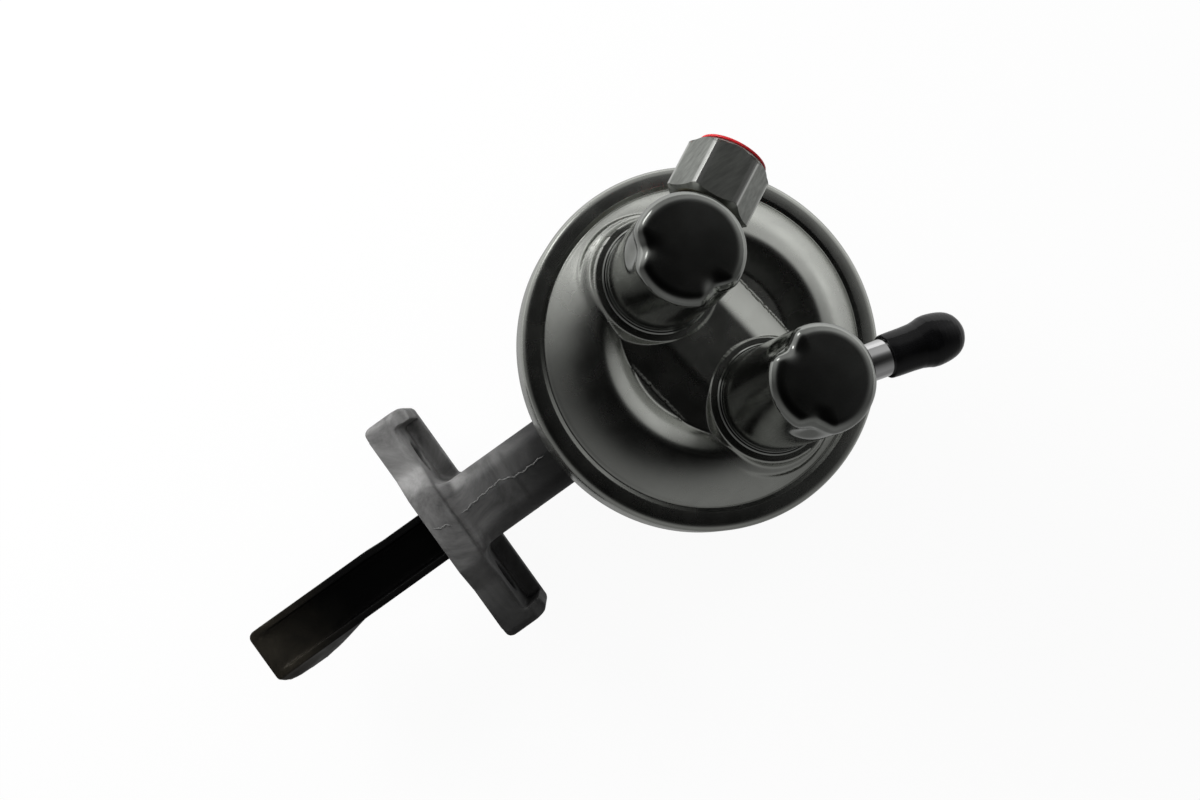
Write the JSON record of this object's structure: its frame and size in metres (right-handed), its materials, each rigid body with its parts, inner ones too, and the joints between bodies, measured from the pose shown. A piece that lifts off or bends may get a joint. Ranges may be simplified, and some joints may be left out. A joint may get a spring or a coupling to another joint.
{
  "type": "mechanical fuel pump",
  "caption": "Lever operated diaphragm fuel pump with flanged aluminium body, round steel cover, two valve cups, hex outlet and capped inlet tube.",
  "frame": {"origin": "centre of the mounting face on the neck's centre line", "axes": "+Z to the cup side, rocker arm towards -X, long side of the flange along Y"},
  "size_m": [0.1818, 0.0884, 0.0965],
  "materials": {
    "cast_body": "matte cast",
    "cover_steel": "satin zinc",
    "cup_steel": "glossy zinc",
    "fitting_steel": "dull plated",
    "tube_steel": "bright zinc",
    "cap_rubber": "glossy",
    "plug_plastic": "satin",
    "arm_steel": "black oxide",
    "pin_steel": "ground",
    "spring_steel": "drawn wire",
    "plate_steel": "zinc plated",
    "diaphragm_fabric": "rubberised",
    "seal_rubber": "matte",
    "valve_brass": "satin"
  },
  "bodies": {
    "pump_body": {"lower_body": "cast_body", "cover": "cover_steel", "outlet_cup": "cup_steel", "inlet_cup": "cup_steel", "outlet_hex_fitting": "fitting_steel", "inlet_nipple": "tube_steel", "pivot_pin": "pin_steel", "pin_plugs": "pin_steel", "arm_return_spring": "spring_steel", "diaphragm": "diaphragm_fabric", "diaphragm_spring": "spring_steel", "oil_seal": "seal_rubber", "seal_retainer": "plate_steel", "inlet_valve_seat": "valve_brass", "inlet_valve_spring": "spring_steel", "inlet_valve_stem": "valve_brass", "outlet_valve_seat": "valve_brass", "outlet_valve_spring": "spring_steel", "outlet_valve_stem": "valve_brass"},
    "rocker_arm": {"rocker_arm": "arm_steel"},
    "link_lever": {"link_lever": "plate_steel"},
    "rod_and_plates": {"pull_rod": "pin_steel", "rod_washer": "plate_steel", "upper_diaphragm_plate": "plate_steel", "lower_diaphragm_plate": "plate_steel"},
    "inlet_valve_disc": {"inlet_valve_disc": "seal_rubber"},
    "outlet_valve_disc": {"outlet_valve_disc": "seal_rubber"},
    "nipple_cap": {"nipple_cap": "cap_rubber"},
    "outlet_plug": {"outlet_plug": "plug_plastic"}
  },
  "joints": [
    {"name": "rocker_swing", "type": "hinge", "parent": "pump_body", "child": "rocker_arm", "pos_m": [0.022, 0, 0.004], "axis": [0, 1, 0], "range_deg": [0, 5.5], "stiffness_Nm_per_rad": 0.3, "springref_deg": -17.19, "deforming": ["arm_return_spring"]},
    {"name": "link_swing", "type": "hinge", "parent": "pump_body", "child": "link_lever", "pos_m": [0.022, 0, 0.004], "axis": [0, 1, 0], "range_deg": [0, 5.5]},
    {"name": "diaphragm_stroke", "type": "slide", "parent": "pump_body", "child": "rod_and_plates", "axis": [-0.2164, 0, -0.9763], "range_m": [0, 0.0051], "stiffness_N_per_m": 50, "springref_m": -0.016, "deforming": ["diaphragm", "diaphragm_spring"]},
    {"name": "inlet_valve_lift", "type": "slide", "parent": "pump_body", "child": "inlet_valve_disc", "axis": [-0.2164, 0, -0.9763], "range_m": [0, 0.0015], "stiffness_N_per_m": 10, "springref_m": -0.002, "deforming": ["inlet_valve_spring"]},
    {"name": "outlet_valve_lift", "type": "slide", "parent": "pump_body", "child": "outlet_valve_disc", "axis": [0.2164, 0, 0.9763], "range_m": [0, 0.0015], "stiffness_N_per_m": 10, "springref_m": -0.002, "deforming": ["outlet_valve_spring"]},
    {"name": "cap_pull", "type": "slide", "parent": "pump_body", "child": "nipple_cap", "axis": [0.9385, -0.2756, -0.2081], "range_m": [0, 0.02]},
    {"name": "plug_pull", "type": "slide", "parent": "pump_body", "child": "outlet_plug", "axis": [0.876, 0.4415, -0.1942], "range_m": [0, 0.015]}
  ],
  "couplings": [
    {"joint": "link_swing", "follows": "rocker_swing", "ratio": 1},
    {"joint": "diaphragm_stroke", "follows": "rocker_swing", "m_per_rad": 0.0523}
  ]
}
